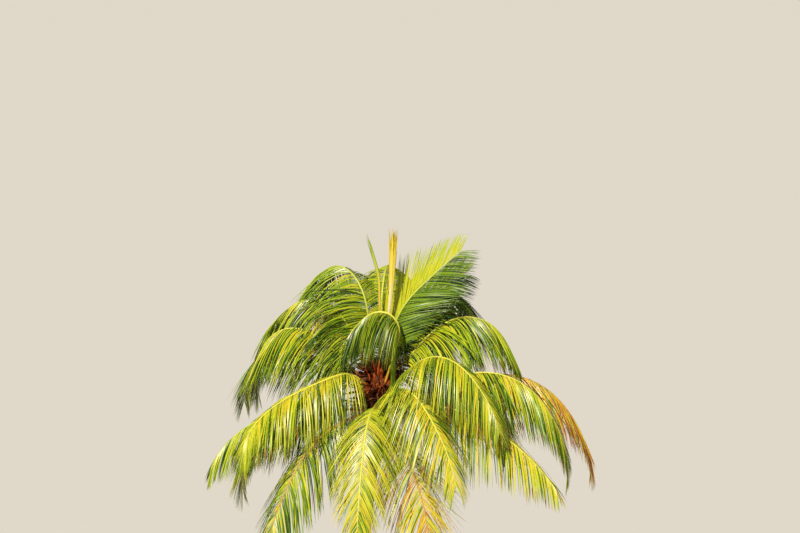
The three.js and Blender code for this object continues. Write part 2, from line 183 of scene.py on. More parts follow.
def bladeSkin(spines, widthWays, overWays, halfWidths, folds, ridge, flip=False):
    # Long folded blades. At each station of a spine the section is a thin roof of four points: left edge,
    # ridge, right edge and keel. The edges stand halfWidth * cos(fold) out and halfWidth * sin(fold) below
    # the spine. ridge is the half thickness there, or 0.3 of the half width where that is less.
    count, rings = spines.shape[:2]
    out = widthWays * (halfWidths * np.cos(folds))[..., None]
    drop = overWays * (halfWidths * np.sin(folds))[..., None]
    thick = overWays * np.minimum(ridge, halfWidths * 0.3)[..., None]
    points = np.stack([spines + out - drop, spines + thick, spines - out - drop, spines - thick], axis=2)
    zero = np.zeros_like(halfWidths)
    across = np.stack([halfWidths, zero, -halfWidths, zero], axis=2)
    run = np.cumsum(np.pad(np.linalg.norm(np.diff(spines, axis=1), axis=-1), ((0, 0), (1, 0))), axis=1)
    uv = np.stack([across, np.repeat(run[:, :, None], 4, axis=2)], axis=-1)
    return points.reshape(-1, 3), ringQuads(count, rings, 4, flip), uv.reshape(-1, 2)


def tubeSkin(spines, radii, sides):
    # Round tubes along spines. The ring stands across the spine's own way, turned from one fixed direction.
    count, rings = spines.shape[:2]
    way = unit(np.gradient(spines, axis=1))
    lean = np.where(np.abs(way[..., 2:]) > 0.9, np.array([1.0, 0, 0]), up)
    first = unit(np.cross(way, lean))
    second = np.cross(way, first)
    turn = np.arange(sides) / sides * 2 * np.pi
    ring = first[:, :, None] * np.cos(turn)[:, None] + second[:, :, None] * np.sin(turn)[:, None]
    points = spines[:, :, None] + ring * radii[..., None, None]
    return points.reshape(-1, 3), ringQuads(count, rings, sides)


# The trunk leans from the origin to the foot of the heart. Its bark comes further down.
trunk = {
    "footRadius": 0.300, "stemRadius": 0.152, "topRadius": 0.122, "flareFall": 0.300, "flareLobes": 5,
    "lobeDepth": 0.05, "leanPower": 1.55, "top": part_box("trunk")[1][2], "sides": 64, "rings": 560,
    "scarPitch": 0.085, "scarDepth": 0.0088,
    "scarRise": 0.82,  # share of the pitch that swells before the step
    "scarWaves": (1, 2, 3, 5), "scarLift": 0.22, "scarDrift": 2.2, "scarStray": 0.25,  # its dips
    "grooveSpan": 0.06, "grooveDepth": 0.004,  # of the line above each scar
    "crackCounts": (11, 17, 23, 31), "crackDepth": 0.0022, "crackBend": 4.8,  # round the trunk
    "flareCalm": 0.55,  # share of the relief that the flare loses
}


def trunkShape(z):
    # Share of the heart's offset that the middle has at height z, the even taper, and the flare, which falls
    # as exp(-z / flareFall)
    share = np.clip(z / trunk["top"], 0, 1)
    taper = trunk["stemRadius"] + (trunk["topRadius"] - trunk["stemRadius"]) * share
    return share ** trunk["leanPower"], taper, np.exp(-np.clip(z, 0, None) / trunk["flareFall"])


def clearOfStem(spines, room):
    # True for each spine that stays by room outside the trunk and the heart at all its stations
    lean, taper, flare = trunkShape(spines[..., 2])
    trunkRadius = taper + (trunk["footRadius"] - trunk["stemRadius"]) * flare
    height = spines[..., 2] - heart[2]
    heartRadius = np.interp(height, heartHeights, heartRadii, left=0, right=0)
    radius = np.where(height < heartHeights[0], trunkRadius, heartRadius)
    away = np.hypot(spines[..., 0] - heart[0] * lean, spines[..., 1] - heart[1] * lean)
    return (away > radius + room).all(axis=1)


# The rule that the solids follow
leaf = {
    "ribSteps": 160, "offAxis": 0.110, "petioleShare": 0.13,
    "baseHalfWidth": 0.058, "stalkHalfWidth": 0.028, "tipHalfWidth": 0.0055,
    "baseHalfThickness": 0.027, "stalkHalfThickness": 0.018, "tipHalfThickness": 0.005,
    "longestLeaflet": 1.35, "longestAt": 0.35, "firstShare": 0.6, "lastShare": 0.34,
    "rootAngle": 70, "tipAngle": 27, "hang": 2.6, "steepHang": 0.3, "bendSpan": 0.26, "tipDroop": 48,
    "topSeat": 0.350, "lowSeat": -0.475, "seatPower": 1.4,
}
youngLeaf = {"rootAngle": 12, "lowerRootAngle": 50, "tipAngle": 28, "leafletShare": 0.8, "hang": 0.1,
             "lowerHang": 0.5, "slim": 0.72, "roll": 62, "fine": 0.85, "lowerShadeTone": -2.0,
             "slide": (0.2, -0.3)}
archOver = {"bendSpan": 0.16, "offAxis": -0.14, "aside": 0.15, "hang": 4, "steepHang": 0.9,
            "leafletShare": 0.8, "fine": 0.7, "dense": 1.6, "slim": 1.45}

# Newest to oldest, placed and bent as the solids are. tone is a place on the leaflet colours below, from 0
# deep green to 9 dry brown, spread how far it strays, end what it gains on the way to the leaf's tip, slide
# what each leaflet has more at its root and at its tip, lowerShadeTone what the leaflets of the lower side
# have more. A slide that makes the root lighter and the tip darker is painted sunlight on the root and
# painted shade on the tip, and lowerShadeTone is painted shade on the leaflets that hang under the young
# leaves. tangle is how much more a leaf is ruffled, fine and dense are the width and the number of its
# leaflets against the others', slim is the girth of its midrib, and rib the finish of that.
leaves = [
    dict(youngLeaf, heading=15, rise=78, bend=36, bendAt=0.42, tipDroop=6, length=2.85, rootAngle=24,
         tone=4.6, spread=0.4, end=-0.1, rib="lime"),
    dict(heading=128, rise=80, bend=106, bendAt=0.47, length=4.25,
         tone=3.4, spread=1.1, rib="lime"),
    dict(heading=82, rise=76, bend=106, bendAt=0.5, length=4.1,
         tone=3.6, spread=1.0, rib="lime"),
    dict(youngLeaf, heading=32, rise=68, bend=36, bendAt=0.42, tipDroop=20, length=2.75,
         tone=3.3, spread=0.8, rib="lime"),
    dict(heading=147, rise=60, bend=89, bendAt=0.46, length=3.9,
         tone=3.7, spread=1.2, rib="lime"),
    dict(heading=44, rise=56, bend=106, bendAt=0.5, length=4.4,
         tone=3.3, spread=1.0, rib="lime"),
    dict(heading=14, rise=46, bend=92, bendAt=0.5, length=4.2,
         tone=3.9, spread=1.0, rib="yellow"),
    dict(archOver, heading=168, rise=106, bend=150, bendAt=0.38, length=4.2,
         tone=2.4, spread=1.9, rib="yellow"),
    dict(heading=168, rise=43, bend=98, bendAt=0.55, length=3.7,
         tone=3.9, spread=1.3, rib="yellow"),
    dict(heading=106, rise=40, bend=76, bendAt=0.5, length=4.5,
         tone=2.8, spread=1.0, rib="lime"),
    dict(heading=212, rise=52, bend=62, bendAt=0.18, bendSpan=0.13, tipDroop=90, length=3.75,
         tone=4.9, spread=0.6, end=-0.7, slide=(0.8, -0.5), rib="yellow"),
    dict(heading=318, rise=44, bend=72, bendAt=0.48, length=3.9,
         tone=4.1, spread=1.2, rib="yellow"),
    dict(heading=68, rise=32, bend=70, bendAt=0.5, length=4.5,
         tone=2.8, spread=1.0, rib="lime"),
    dict(heading=296, rise=33, bend=54, bendAt=0.33, length=3.8,
         tone=4.8, spread=0.9, rib="yellow"),
    dict(heading=140, rise=28, bend=66, bendAt=0.5, length=4.5,
         tone=3.4, spread=1.0, rib="lime"),
    dict(heading=350, rise=23, bend=68, bendAt=0.5, length=4.9,
         tone=4.0, spread=1.5, slide=(1.2, -1.4), rib="yellow"),
    dict(heading=264, rise=12, bend=42, bendAt=0.4, length=4.1,
         tone=4.1, spread=0.8, end=1.2, slide=(0.3, 0.3), rib="yellow"),
    dict(heading=328, rise=10, bend=33, bendAt=0.42, tipDroop=28, length=4.2,
         tone=4.8, spread=0.9, rib="yellow"),
    dict(heading=190, rise=16, bend=38, bendAt=0.33, length=3.65,
         tone=3.4, spread=1.1, rib="lime"),
    dict(heading=8, rise=17, bend=58, bendAt=0.5, length=5.35,
         tone=6.6, spread=1.3, end=0.8, slide=(-0.2, 0.9), tangle=2.0, rib="rust"),
    # Painted shade: this old leaf's low tone darkens it where it hangs in the shadow under the crown
    dict(heading=222, rise=-4, bend=45, bendAt=0.34, hang=3.4, length=4.1,
         tone=2.9, spread=1.8, end=0.6, rib="rust"),
    dict(heading=42, rise=6, bend=50, bendAt=0.5, length=4.5,
         tone=3.5, spread=1.2, rib="lime"),
    dict(heading=90, rise=2, bend=50, bendAt=0.5, length=4.3,
         tone=4.0, spread=1.2, end=0.6, rib="yellow"),
    dict(heading=288, rise=-10, bend=26, bendAt=0.5, length=4.0,
         tone=4.6, spread=1.3, end=2.2, slide=(0.2, 0.5), tangle=1.7, rib="rust"),
    # Painted shade: this old leaf's low tone darkens it where it hangs in the shadow under the crown
    dict(heading=158, rise=-4, bend=46, bendAt=0.5, length=4.0,
         tone=2.9, spread=1.5, end=1.4, tangle=1.4, rib="rust"),
]


def ribPath(row):
    # The slope at share u is rise - bend eased in around bendAt - tipDroop * u ** 4. The rib is marched in
    # short straight steps from its foot, in one upright plane. roll turns its section about the rib's own
    # way.
    u = np.linspace(0, 1, leaf["ribSteps"] + 1)
    span = row.get("bendSpan", leaf["bendSpan"])
    bendAt = row.get("bendAt", 0.5)
    bent = row["bend"] * smoothStep(bendAt - span, bendAt + span, u)
    slope = np.radians(row["rise"] - bent - row.get("tipDroop", leaf["tipDroop"]) * u ** 4)
    heading = math.radians(row["heading"])
    ahead = np.array([math.cos(heading), math.sin(heading), 0.0])
    level = np.array([-ahead[1], ahead[0], 0.0])
    along = np.cos(slope)[:, None] * ahead + np.sin(slope)[:, None] * up
    foot = heart + ahead * row.get("offAxis", leaf["offAxis"])
    foot = foot + level * row.get("aside", 0) + up * row["seat"]
    steps = np.cumsum(along[:-1] * row["length"] / leaf["ribSteps"], axis=0)
    roll = math.radians(row.get("roll", 0))
    side = level * math.cos(roll) + np.cross(along, level) * math.sin(roll)
    return {"place": foot + np.vstack([np.zeros(3), steps]), "along": along, "side": side,
            "over": np.cross(along, side)}


def onRib(path, u):
    # Place, along, side and over at the shares u of the rib
    at = np.clip(u, 0, 1) * leaf["ribSteps"]
    low = np.minimum(at.astype(int), leaf["ribSteps"] - 1)
    part = (at - low)[..., None]
    place, along, side, over = (path[key][low] * (1 - part) + path[key][low + 1] * part
                                for key in ("place", "along", "side", "over"))
    return place, unit(along), unit(side), unit(over)


def ribSize(u, row, kind):
    # Half width or half thickness. It falls as the square root of u along the bare stalk, then evenly to the
    # tip.
    base, stalk, tip = (leaf[part + kind] for part in ("baseHalf", "stalkHalf", "tipHalf"))
    share, slim = leaf["petioleShare"], row.get("slim", 1)
    bare = slim * (base + (stalk - base) * np.sqrt(np.clip(u / share, 0, 1)))
    leafy = slim * stalk + (tip - slim * stalk) * (u - share) / (1 - share)
    return np.where(u < share, bare, leafy)


def leafletLength(v):
    # firstShare rises to 1 at longestAt as 1 - (1 - v / longestAt) ** 2, then falls to lastShare
    at = leaf["longestAt"]
    before = 1 - (1 - leaf["firstShare"]) * np.clip(1 - v / at, 0, 1) ** 2
    after = 1 - (1 - leaf["lastShare"]) * np.clip((v - at) / (1 - at), 0, 1) ** 1.5
    return leaf["longestLeaflet"] * np.where(v < at, before, after)


# Living leaflet: a waxed skin over ribbed tissue, so a clear gloss on a plain colour. Each spray of leaflets
# takes its colours from this scale, from fresh shade green through sunlit lime to old gold and dry brown.
leafTones = {
    "deepGreenLeaflet": "#24400f", "darkGreenLeaflet": "#3c5c15", "greenLeaflet": "#5c7e19",
    "grassGreenLeaflet": "#83a01e", "limeLeaflet": "#abba24", "yellowLimeLeaflet": "#cbca2a",
    "yellowLeaflet": "#dfc730", "goldLeaflet": "#d19a2c", "rustLeaflet": "#a3612a", "dryLeaflet": "#75532f",
}
leafletFinish = {"roughness": 0.33, "dryRoughness": 0.6, "firstDry": 8, "veinPitch": 4,  # mm
                 "veinDepth": 0.0006, "veinStrength": 0.15}


def leafletMaterial(name, colour, dry):
    # Veins run along the leaflet: a wave across its width, one every 4 mm, coarser than life so that it
    # shows. The node draws 3.18 waves a metre for each 1 of its scale.
    roughness = leafletFinish["dryRoughness" if dry else "roughness"]
    material, tree, shader = newMaterial(name, colour, roughness, IOR=1.48)
    place = addNode(tree, "ShaderNodeUVMap", {"uv_map": "surface"})
    wavesPerMetre = perMetre(leafletFinish["veinPitch"]) / 3.18
    settings = {"bands_direction": "X", "Scale": wavesPerMetre, "Distortion": 0.4}
    wave = addNode(tree, "ShaderNodeTexWave", settings, {"Vector": place.outputs["UV"]})
    bumpFrom(tree, shader, wave.outputs["Fac"], leafletFinish["veinStrength"], leafletFinish["veinDepth"])
    return material


leafletLooks = [
    leafletMaterial(name, colour, i >= leafletFinish["firstDry"])
    for i, (name, colour) in enumerate(leafTones.items())
]

# Midrib: smooth hard skin, waxed, brown and fibrous where it leaves the heart. Places are shares of its
# length. Its streaks are 6 by 650 mm on a midrib of 162 by 4290 mm.
ribFinishes = {
    "lime": [(0.0, "#5d3a1c"), (0.035, "#b0782c"), (0.09, "#b9b83a"), (0.3, "#c3cc4c"), (1.0, "#c2ca4a")],
    "yellow": [(0.0, "#6a3d1b"), (0.035, "#c9852f"), (0.09, "#dcc63e"), (0.3, "#e2dc55"), (1.0, "#d8d452")],
    "rust": [(0.0, "#4a2d18"), (0.05, "#8e5424"), (0.14, "#bd8534"), (0.4, "#cf9f3c"), (1.0, "#b5832f")],
}
ribStreaks = {"roughness": 0.4, "streak": (6, 650), "midrib": (162, 4290), "shift": 0.09, "depth": 0.002}


def strayedShare(tree, share, noise, shift):
    # share + shift * (noise - 0.5), so that a ramp's borders aren't straight
    around = {"operation": "MULTIPLY_ADD", 1: shift, 2: -shift / 2}
    stray = addNode(tree, "ShaderNodeMath", around, {0: noise})
    return addNode(tree, "ShaderNodeMath", {"operation": "ADD"}, {0: share, 1: stray.outputs["Value"]})


def ribMaterial(name, stops):
    # The colour follows the share along the rib, strayed by the streaks, which also stand up a little
    material, tree, shader = newMaterial(name, stops[2][1], ribStreaks["roughness"], IOR=1.47)
    place = addNode(tree, "ShaderNodeUVMap", {"uv_map": "surface"})
    parts = addNode(tree, "ShaderNodeSeparateXYZ", links={"Vector": place.outputs["UV"]})
    stretch = (*(whole / one for whole, one in zip(ribStreaks["midrib"], ribStreaks["streak"])), 1.0)
    stretched = addNode(tree, "ShaderNodeMapping", {"Scale": stretch}, {"Vector": place.outputs["UV"]})
    streaks = addNode(tree, "ShaderNodeTexNoise", {"Scale": 1.0, "Detail": 5.0, "Roughness": 0.65},
                      {"Vector": stretched.outputs["Vector"]})
    moved = strayedShare(tree, parts.outputs["Y"], streaks.outputs["Fac"], ribStreaks["shift"])
    tree.links.new(colourRamp(tree, moved.outputs["Value"], stops), shader.inputs["Base Color"])
    bumpFrom(tree, shader, streaks.outputs["Fac"], 0.35, ribStreaks["depth"])
    return material


ribLooks = {key: ribMaterial(key + "Midrib", stops) for key, stops in ribFinishes.items()}

leaflets = {
    "pitch": 0.0175,  # between two leaflets on one side
    "halfWidth": 0.0118,
    "widthPlaces": (0, 0.1, 0.32, 0.6, 0.85, 1),  # along it
    "widthShares": (0.42, 0.8, 1, 0.86, 0.45, 0.03),  # of the width, at those places
    "widthPower": 0.45,  # a shorter leaflet is narrower by this power of its length
    "rootShares": (0.6, 0.35),  # where it starts, in shares of the rib's half width and half thickness
    "placeStray": 0.25,  # of the pitch
    "segments": 8,
    "ridge": 0.0016,  # half thickness along the fold
    "fold": (28, 13),  # degrees that each half drops from the fold, at the root and at the tip
    "angleStray": 4.8,
    "lengthStray": 0.07,
    "hangStray": 0.22,
    "sway": 0.11,
    "twist": 26,  # degrees over the whole length
    # slide: leaflets lighter at the root and darker at the tip, painted sunlight and painted shade
    "slide": (0.8, -0.6),
    "paintedShadeShare": 0.25,  # of the leaflets, which paintedShadeTone makes darker and greener than their neighbours: painted shade between the leaflets
    "paintedShadeTone": -3.0,
    "dryShare": 0.05,  # of the leaflets of a leaf of tone 3, with dryPerTone more for each tone above
    "dryPerTone": 0.12,
    "dryLimits": (0.03, 0.5),
    "dryFrom": (0.6, 0.95),  # where the dry end begins
    "dryTone": 7.6,
    "stemRoom": 0.02,
}


def leafletSprays(row, rng):
    # way(share) = along * cos(angle) + side * hand * sin(angle) - up * droop * share ** 0.7
    # + along * sway * share, made a unit and summed over the segments. Neighbours stray together by slow
    # waves along the rib, and each one strays a little by itself.
    path = ribPath(row)
    bladeLength = row["length"] * (1 - leaf["petioleShare"])
    perSide = int(round(bladeLength / leaflets["pitch"] * row.get("dense", 1)))
    step = (np.arange(perSide) + 0.5) / perSide
    v = np.tile(step, 2) + rng.normal(0, leaflets["placeStray"] / perSide, perSide * 2)
    v = np.clip(v, 0.001, 0.999)
    hand = np.repeat([1.0, -1.0], perSide)
    slow = [np.concatenate([waves(rng, step, 3, 14), waves(rng, step, 3, 14)]) for _ in range(4)]
    own = np.clip(rng.normal(0, 1, (6, v.size)), -2, 2)
    tangle = row.get("tangle", 0.5 if row.get("roll") else 1)
    u = leaf["petioleShare"] + (1 - leaf["petioleShare"]) * v
    place, along, side, over = onRib(path, u)
    outShare, overShare = leaflets["rootShares"]
    root = place + side * (hand * ribSize(u, row, "Width") * outShare)[:, None]
    root = root + over * (ribSize(u, row, "Thickness") * overShare)[:, None]
    upperAngle = row.get("rootAngle", leaf["rootAngle"])
    rootAngle = np.where(hand < 0, row.get("lowerRootAngle", upperAngle), upperAngle)
    stray = leaflets["angleStray"] * tangle * (slow[0] + 0.6 * own[0])
    angle = np.radians(rootAngle + (row.get("tipAngle", leaf["tipAngle"]) - rootAngle) * v ** 1.2 + stray)
    upperHang = row.get("hang", leaf["hang"])
    hang = np.where(hand < 0, row.get("lowerHang", upperHang), upperHang)
    droop = hang * (1 - (1 - row.get("steepHang", leaf["steepHang"])) * along[:, 2] ** 2)
    droop = droop * np.clip(1 + leaflets["hangStray"] * tangle * (slow[1] + 0.6 * own[1]), 0.4, 2)
    sway = leaflets["sway"] * tangle * (slow[2] + 0.7 * own[2])
    length = leafletLength(v) * row.get("leafletShare", 1)
    length = length * (1 + leaflets["lengthStray"] * (0.6 * slow[3] + 0.7 * own[3]))
    segments = leaflets["segments"]
    stations = np.linspace(0, 1, segments + 1)
    middles = (stations[:-1] + stations[1:]) / 2

    def ways(shares):
        # way(share), as above, for each leaflet
        flat = along * np.cos(angle)[:, None] + side * (hand * np.sin(angle))[:, None]
        fall = (droop[:, None] * shares ** 0.7)[..., None] * up
        push = (sway[:, None] * shares)[..., None] * along[:, None]
        return unit(flat[:, None] + (push - fall))

    steps = ways(middles) * (length / segments)[:, None, None]
    spines = root[:, None] + np.concatenate([np.zeros((v.size, 1, 3)), np.cumsum(steps, axis=1)], axis=1)
    way = ways(stations)
    wide = unit(along[:, None] - (along[:, None] * way).sum(-1, keepdims=True) * way)
    turn = np.radians(leaflets["twist"] * 0.6 * own[4])[:, None] * stations
    wide = wide * np.cos(turn)[..., None] + np.cross(way, wide) * np.sin(turn)[..., None]
    overWay = np.cross(wide, way) * hand[:, None, None]
    profile = np.interp(stations, leaflets["widthPlaces"], leaflets["widthShares"])
    narrower = (length / leaf["longestLeaflet"]) ** leaflets["widthPower"]
    broad = leaflets["halfWidth"] * row.get("fine", 1) * narrower
    half = broad[:, None] * profile
    folds = np.broadcast_to(np.radians(np.interp(stations, [0, 1], leaflets["fold"])), half.shape)

    # Tones: one for each leaflet, sliding from its root to its tip, with a dry end on some. A lighter root
    # and a darker tip are painted sunlight and painted shade.
    toneStray = row["spread"] * (0.5 * slow[1] + 0.3 * slow[3] + 0.7 * own[5])
    base = row["tone"] + row.get("end", 0) * v + toneStray
    # Painted shade: the leaflets of the lower side of the young leaves are darker
    base = base + np.where(hand < 0, row.get("lowerShadeTone", 0), 0)
    # Painted shade: a share of the leaflets is darkened as if its neighbours shaded it, on every leaf but the
    # upper side of the young leaves
    paintedShade = (rng.random(v.size) < leaflets["paintedShadeShare"]) & ((hand < 0) | (row.get("roll", 0) == 0))
    base = base + np.where(paintedShade, leaflets["paintedShadeTone"], 0)
    tones = base[:, None] + np.interp(middles, [0, 1], row.get("slide", leaflets["slide"]))
    dryShare = leaflets["dryShare"] + leaflets["dryPerTone"] * (row["tone"] - 3)
    dryShare = 0 if row.get("roll") else np.clip(dryShare, *leaflets["dryLimits"])
    dryFrom = rng.uniform(*leaflets["dryFrom"], v.size)[:, None]
    dry = (rng.random(v.size) < dryShare)[:, None] & (stations[:-1] > dryFrom)
    living = np.clip(tones, 0, max(6, row["tone"] + row.get("end", 0) + 1))
    tones = np.where(dry, np.maximum(tones + 2.5, leaflets["dryTone"]), living)
    index = np.clip(np.round(tones), 0, len(leafTones) - 1).astype(int)

    kept = clearOfStem(spines[:, 2:], leaflets["stemRoom"])
    points, quads, uv = bladeSkin(spines[kept], wide[kept], overWay[kept], half[kept], folds[kept],
                                  leaflets["ridge"], hand[kept] > 0)
    index = index[kept]
    looks = np.concatenate([np.repeat(index, 4, axis=1), index[:, :1], index[:, -1:]], axis=1).ravel()
    return points, quads, uv, looks, int(kept.sum())


midrib = {"sides": 12, "stations": 44, "sheathFlare": 0.75, "sheathSpan": 0.035, "groove": 0.8,
          "grooveFade": (0.1, 0.3), "tipRadius": 0.001}


def midribSkin(row):
    # A tube of twelve sides along the rib. Its section is an ellipse, hollowed on top along the bare stalk,
    # and it widens again as exp(-(u / sheathSpan) ** 2) at its foot, where the leaf clasps the heart.
    u = np.linspace(0, 1, midrib["stations"]) ** 1.25
    place, _, side, over = onRib(ribPath(row), u)
    wide = ribSize(u, row, "Width") * (1 + midrib["sheathFlare"] * np.exp(-(u / midrib["sheathSpan"]) ** 2))
    thick = ribSize(u, row, "Thickness")
    wide[-1] = thick[-1] = midrib["tipRadius"]
    turn = np.arange(midrib["sides"]) / midrib["sides"] * 2 * np.pi
    fade = 1 - smoothStep(*midrib["grooveFade"], u)
    hollow = midrib["groove"] * fade[:, None] * np.clip(np.sin(turn), 0, 1) ** 2
    across = wide[:, None] * np.cos(turn)
    height = thick[:, None] * np.sin(turn) * (1 - hollow)
    points = place[:, None] + side[:, None] * across[..., None] + over[:, None] * height[..., None]
    uv = np.stack(np.broadcast_arrays(turn / (2 * np.pi), u[:, None]), axis=-1)
    return points.reshape(-1, 3), ringQuads(1, len(u), midrib["sides"]), uv.reshape(-1, 2)


leafletCount = 0
for number, row in enumerate(leaves, 1):
    newness = (1 - (number - 1) / (len(leaves) - 1)) ** leaf["seatPower"]
    row["seat"] = leaf["lowSeat"] + (leaf["topSeat"] - leaf["lowSeat"]) * newness
    name = f"leaf_{number:02d}"
    nodes = [name] if row.get("roll") else [name + "_inner", name + "_outer"]
    points, quads, uv, looks, count = leafletSprays(row, np.random.default_rng(100 + number))
    used, looks = np.unique(looks, return_inverse=True)
    finishes = [leafletLooks[i] for i in used]
    makePiece(name + "_leaflets", points, quads, finishes, nodes, looks, uv, sharp=30)
    leafletCount += count
    points, quads, uv = midribSkin(row)
    makePiece(name + "_midrib", points, quads, [ribLooks[row["rib"]]], nodes, None, uv, sharp=60)
print("leaves done:", leafletCount, "leaflets")


def trunkSkin():
    # radius = taper + flare, with five lobes that fade upwards. Each leaf scar is a ledge: the radius grows
    # slowly up to it and steps back above it, and the ledge dips and rises round the trunk. Cracks run up the
    # bark.
    rng = np.random.default_rng(7)
    z = np.linspace(0, trunk["top"], trunk["rings"])[:, None]
    turn = (np.arange(trunk["sides"]) / trunk["sides"] * 2 * np.pi)[None]
    lean, taper, flare = trunkShape(z)
    radius = taper + (trunk["footRadius"] - trunk["stemRadius"]) * flare
    radius = radius * (1 + trunk["lobeDepth"] * flare * np.cos(trunk["flareLobes"] * turn))
    lift = np.zeros((trunk["rings"], trunk["sides"]))
    for waveNumber in trunk["scarWaves"]:
        drift = waves(rng, z.ravel(), 0.1, 0.6)[:, None] * trunk["scarDrift"]
        lift += np.sin(waveNumber * turn + drift + rng.uniform(0, 6.28)) * trunk["scarLift"] / waveNumber
    stray = trunk["scarStray"] * waves(rng, z.ravel(), 0.3, 1.2)[:, None]
    phase = (z / trunk["scarPitch"] + lift + stray) % 1
    rise, span = trunk["scarRise"], trunk["grooveSpan"]
    ledge = np.where(phase < rise, phase / rise, (1 - phase) / (1 - rise))
    groove = np.exp(-((phase - 0.985) / span) ** 2) + np.exp(-((phase + 0.015) / span) ** 2)
    cracks = np.zeros_like(lift)
    for count in trunk["crackCounts"]:
        bend = waves(rng, z.ravel(), 0.4, 1.6)[:, None] * trunk["crackBend"]
        comesAndGoes = 0.5 + 0.5 * np.sin(z * rng.uniform(6, 18) + count)
        cracks += np.sin(count * turn + bend) ** 8 * comesAndGoes
    relief = trunk["scarDepth"] * (ledge - 0.5) - trunk["grooveDepth"] * groove
    radius = radius + (1 - trunk["flareCalm"] * flare) * relief - trunk["crackDepth"] * cracks
    points = np.stack([heart[0] * lean + radius * np.cos(turn), heart[1] * lean + radius * np.sin(turn),
                       z + 0 * turn], -1)
    scar = np.clip(groove + 0.35 * cracks, 0, 1)
    return points.reshape(-1, 3), ringQuads(1, *radius.shape), scar.ravel()


# Palm bark: dead fibrous rind, matt, weathered grey, darker along the groove above each leaf scar and in the
# cracks, with patches of pale lichen
bark = {"roughness": 0.9, "grain": (38.5, 38.5, 175), "patch": 182,  # mm
        "patchShare": 0.5, "scarShare": 0.62, "depth": 0.006}


def barkMaterial():
    # Grey by the grain, paler by patchShare in the patches and darker by scarShare along the scar grooves and
    # the cracks
    material, tree, shader = newMaterial("weatheredPalmBark", "#8c8375", bark["roughness"])
    place = addNode(tree, "ShaderNodeTexCoord")
    scar = addNode(tree, "ShaderNodeAttribute", {"attribute_name": "scar"})
    stretch = {"Scale": perMetre(*bark["grain"])}
    tall = addNode(tree, "ShaderNodeMapping", stretch, {"Vector": place.outputs["Object"]})
    grain = {"Scale": 1.0, "Detail": 8.0, "Roughness": 0.7}
    rind = addNode(tree, "ShaderNodeTexNoise", grain, {"Vector": tall.outputs["Vector"]})
    growth = {"Scale": perMetre(bark["patch"]), "Detail": 6.0, "Roughness": 0.62}
    patches = addNode(tree, "ShaderNodeTexNoise", growth, {"Vector": place.outputs["Object"]})
    grey = colourRamp(tree, rind.outputs["Fac"],
                      [(0.28, "#4f463b"), (0.45, "#7c7163"), (0.6, "#978d7e"), (0.78, "#b3aa9a")])
    lichen = colourRamp(tree, patches.outputs["Fac"], [(0.56, "#000000"), (0.68, "#ffffff")])
    fainter = {"operation": "MULTIPLY", 1: bark["patchShare"]}
    lichenShare = addNode(tree, "ShaderNodeMath", fainter, {0: lichen})
    pale = addNode(tree, "ShaderNodeMix", {"data_type": "RGBA", 7: linear("#b9b8a4")},
                   {0: lichenShare.outputs["Value"], 6: grey})
    darker = {"operation": "MULTIPLY", 1: bark["scarShare"]}
    scarShare = addNode(tree, "ShaderNodeMath", darker, {0: scar.outputs["Fac"]})
    dark = addNode(tree, "ShaderNodeMix", {"data_type": "RGBA", 7: linear("#3d342b")},
                   {0: scarShare.outputs["Value"], 6: pale.outputs[2]})
    tree.links.new(dark.outputs[2], shader.inputs["Base Color"])
    bumpFrom(tree, shader, rind.outputs["Fac"], 0.7, bark["depth"])
    return material


points, quads, scar = trunkSkin()
makePiece("trunk_bark", points, quads, [barkMaterial()], ["trunk"], scar=scar, sharp=70)
print("trunk done")


def heartSkin():
    # The radius follows the profile, less a spiral of ledges where old leaf bases overlap, with fine fibre
    # ridges round it
    rng = np.random.default_rng(11)
    z = np.linspace(heartHeights[0], heartHeights[-1], heartPiece["rings"])[:, None]
    turn = (np.arange(heartPiece["sides"]) / heartPiece["sides"] * 2 * np.pi)[None]
    radius = np.interp(z, heartHeights, heartRadii) + 0 * turn
    spiral = (z / heartPiece["ledgePitch"] + 3 * turn / (2 * np.pi) + 0.12 * np.sin(5 * turn + z * 9)) % 1
    boots = np.abs(np.sin(2.5 * turn - z * 7))
    radius = radius - heartPiece["ledgeDepth"] * (1 - spiral) * (0.5 + 0.5 * boots)
    for count in heartPiece["ridgeCounts"]:
        ridges = np.sin(count * turn + 4 * np.sin(z * rng.uniform(9, 22) + count))
        radius = radius + heartPiece["ridgeDepth"] * ridges
    points = heart + np.stack([radius * np.cos(turn), radius * np.sin(turn), z + 0 * turn], -1)
    return points.reshape(-1, 3), ringQuads(1, *radius.shape)


# Leaf-base fibre: a coarse dead cloth of crossed threads, matt, from dark brown to rusty orange. The threads
# are too fine to show, so the pattern has bundles of them, in mm.
fibreCloth = {"roughness": 0.88, "depth": 0.006}
upright = (33.3, 33.3, 185)
evenly = (33.3, 33.3, 33.3)


def fibreMaterial(name, stops, bundle):
    # The colour and the height follow one noise, stretched to the bundle's size
    material, tree, shader = newMaterial(name, stops[1][1], fibreCloth["roughness"])
    place = addNode(tree, "ShaderNodeTexCoord")
    stretch = {"Scale": perMetre(*bundle)}
    tall = addNode(tree, "ShaderNodeMapping", stretch, {"Vector": place.outputs["Object"]})
    bundles = {"Scale": 1.0, "Detail": 7.0, "Roughness": 0.72}
    threads = addNode(tree, "ShaderNodeTexNoise", bundles, {"Vector": tall.outputs["Vector"]})
    tree.links.new(colourRamp(tree, threads.outputs["Fac"], stops), shader.inputs["Base Color"])
    bumpFrom(tree, shader, threads.outputs["Fac"], 0.8, fibreCloth["depth"])
    return material


# Partly painted shade: the fibre is dark brown, and its darkest threads are near black so that the heart
# shows dark gaps between the flames
heartFibre = fibreMaterial("leafBaseFibre", [(0.3, "#1f140c"), (0.45, "#4a2a16"), (0.58, "#7c4520"),
                                             (0.75, "#ad662f")], upright)
